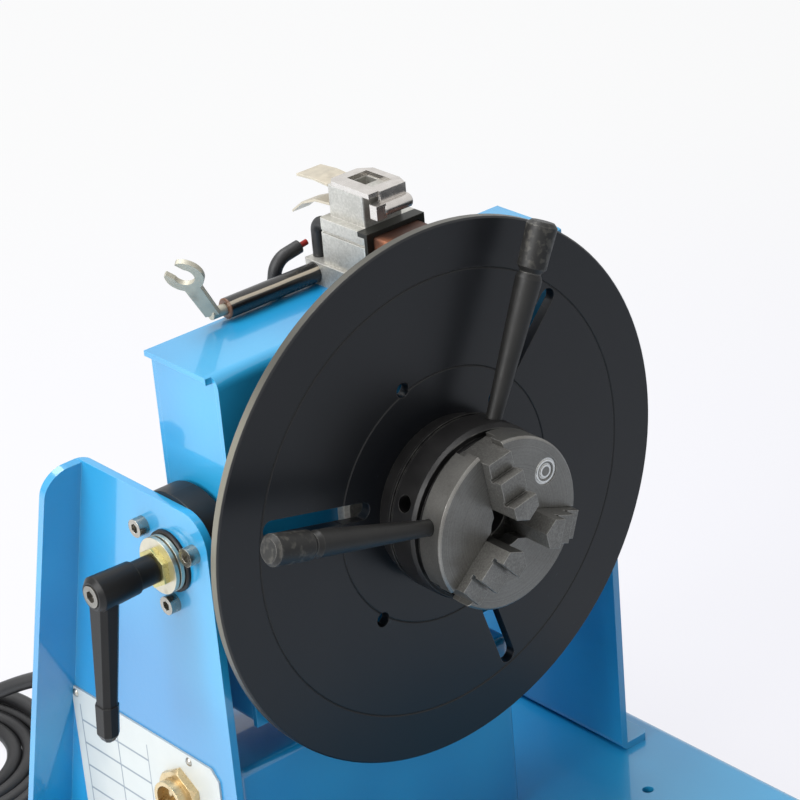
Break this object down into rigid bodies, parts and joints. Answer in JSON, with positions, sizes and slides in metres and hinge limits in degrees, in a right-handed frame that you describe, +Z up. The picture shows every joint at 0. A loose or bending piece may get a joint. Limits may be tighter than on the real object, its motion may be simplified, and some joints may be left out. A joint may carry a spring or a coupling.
{
  "type": "welding positioner",
  "caption": "Bench welding positioner: tilting motor head between sheet cheeks turns a slotted faceplate with a lever scroll chuck and earthing brush.",
  "frame": {"origin": "on the bench, under the middle of the base, at the bottom of the rubber feet", "axes": "+Z up; -Y is the way the faceplate looks; +X is to the right of someone facing the faceplate"},
  "size_m": [0.2642, 0.4187, 0.2823],
  "materials": {
    "blue_paint": "glossy stove enamel",
    "black_oxide": "satin black oxide",
    "ground_steel": "ground steel",
    "turned_steel": "turned steel",
    "zinc": "bright zinc plate",
    "zinc_yellow": "yellow zinc plate",
    "brass": "plain brass",
    "black_plastic": "moulded, fine texture",
    "gloss_black": "polished",
    "rubber": "moulded rubber",
    "cord_sheath": "smooth sheath",
    "cast_alloy": "cast and machined",
    "nickel": "nickel plate",
    "graphite": "copper-graphite",
    "copper": "bare copper",
    "red_core": "wire insulation",
    "white_enamel": "printed plate, left blank",
    "board": "laminate and parts",
    "motor_can": "black enamel",
    "bearing_steel": "polished bearing steel"
  },
  "bodies": {
    "stand": {"base_tray": "blue_paint", "rubber_feet": "rubber", "left_cheek": "blue_paint", "right_cheek": "blue_paint", "cheek_bolts": "zinc", "cheek_washers": "zinc_yellow", "bush_screws": "zinc", "nameplate": "white_enamel", "nameplate_rivets": "zinc", "pedal_socket": "nickel", "bushes": "black_oxide", "control_box": "blue_paint", "electronics": "board", "speed_control": "nickel", "rocker_bezels": "black_plastic", "cable_gland": "black_plastic", "strain_relief": "rubber", "cord_lead": "cord_sheath", "cord_coil": "cord_sheath", "cord_tail": "cord_sheath", "mains_plug": "rubber"},
    "knob": {"speed_knob": "black_plastic"},
    "power_rocker": {"power_rocker": "gloss_black"},
    "direction_rocker": {"direction_rocker": "gloss_black"},
    "head": {"head_cover": "blue_paint", "head_frame": "blue_paint", "rear_cover": "blue_paint", "head_screws": "zinc", "bearing_housing": "cast_alloy", "spindle_bearing": "bearing_steel", "gear_reducer": "cast_alloy", "drive_motor": "motor_can", "trunnions": "turned_steel", "clamp_washers": "zinc", "clamp_nuts": "brass", "brush_block": "cast_alloy", "brush_holder": "cast_alloy", "brush_box": "motor_can", "clip_frame": "nickel", "leaf_springs": "nickel", "earth_cable": "rubber", "fork_lug": "nickel", "pigtail": "cord_sheath", "signal_lead": "cord_sheath", "lead_core": "red_core", "head_grommet": "rubber"},
    "lever": {"clamp_lever": "black_plastic", "lever_screw": "zinc"},
    "brush": {"contact_brush": "graphite"},
    "spindle": {"spindle": "turned_steel", "faceplate": "black_oxide", "chuck_backplate": "black_oxide", "chuck_body": "ground_steel"},
    "scroll": {"scroll_ring": "black_oxide"},
    "jaw_1": {"jaw_1": "ground_steel"},
    "jaw_2": {"jaw_2": "ground_steel"},
    "jaw_3": {"jaw_3": "ground_steel"},
    "body_bar": {"body_bar": "black_oxide"},
    "ring_bar": {"ring_bar": "black_oxide"}
  },
  "joints": [
    {"name": "head_tilt", "type": "hinge", "parent": "stand", "child": "head", "pos_m": [0, 0.026, 0.175], "axis": [-1, 0, 0], "range_deg": [0, 90]},
    {"name": "spindle_turn", "type": "hinge", "parent": "head", "child": "spindle", "pos_m": [0, -0.01, 0.175], "axis": [0, 1, 0], "continuous": true},
    {"name": "scroll_turn", "type": "hinge", "parent": "spindle", "child": "scroll", "pos_m": [0, -0.01, 0.175], "axis": [0, 1, 0], "range_deg": [-270, 360]},
    {"name": "jaw_1_slide", "type": "slide", "parent": "spindle", "child": "jaw_1", "axis": [-0.1736, 0, 0.9848], "range_m": [-0.003, 0.004]},
    {"name": "jaw_2_slide", "type": "slide", "parent": "spindle", "child": "jaw_2", "axis": [-0.766, 0, -0.6428], "range_m": [-0.003, 0.004]},
    {"name": "jaw_3_slide", "type": "slide", "parent": "spindle", "child": "jaw_3", "axis": [0.9397, 0, -0.342], "range_m": [-0.003, 0.004]},
    {"name": "body_bar_pull", "type": "slide", "parent": "spindle", "child": "body_bar", "axis": [-0.9613, 0, 0.2756], "range_m": [0, 0.012]},
    {"name": "ring_bar_pull", "type": "slide", "parent": "scroll", "child": "ring_bar", "axis": [0.4067, 0, 0.9135], "range_m": [0, 0.012]},
    {"name": "brush_slide", "type": "slide", "parent": "head", "child": "brush", "axis": [0, 1, 0], "range_m": [0, 0.005], "stiffness_N_per_m": 150, "springref_m": -0.006},
    {"name": "clamp_lever_turn", "type": "hinge", "parent": "head", "child": "lever", "pos_m": [-0.115, 0.026, 0.175], "axis": [-1, 0, 0], "range_deg": [-60, 60]},
    {"name": "speed_knob_turn", "type": "hinge", "parent": "stand", "child": "knob", "pos_m": [-0.06, 0.006, 0.045], "axis": [0, -1, 0], "range_deg": [-140, 140]},
    {"name": "power_rocker_tip", "type": "hinge", "parent": "stand", "child": "power_rocker", "pos_m": [-0.025, 0.007, 0.03], "axis": [0, 0, 1], "range_deg": [0, 16]},
    {"name": "direction_rocker_tip", "type": "hinge", "parent": "stand", "child": "direction_rocker", "pos_m": [0, 0.007, 0.03], "axis": [0, 0, 1], "range_deg": [-8, 8]}
  ],
  "couplings": [
    {"joint": "jaw_1_slide", "follows": "scroll_turn", "m_per_rad": 0.00063662},
    {"joint": "jaw_2_slide", "follows": "scroll_turn", "m_per_rad": 0.00063662},
    {"joint": "jaw_3_slide", "follows": "scroll_turn", "m_per_rad": 0.00063662}
  ]
}
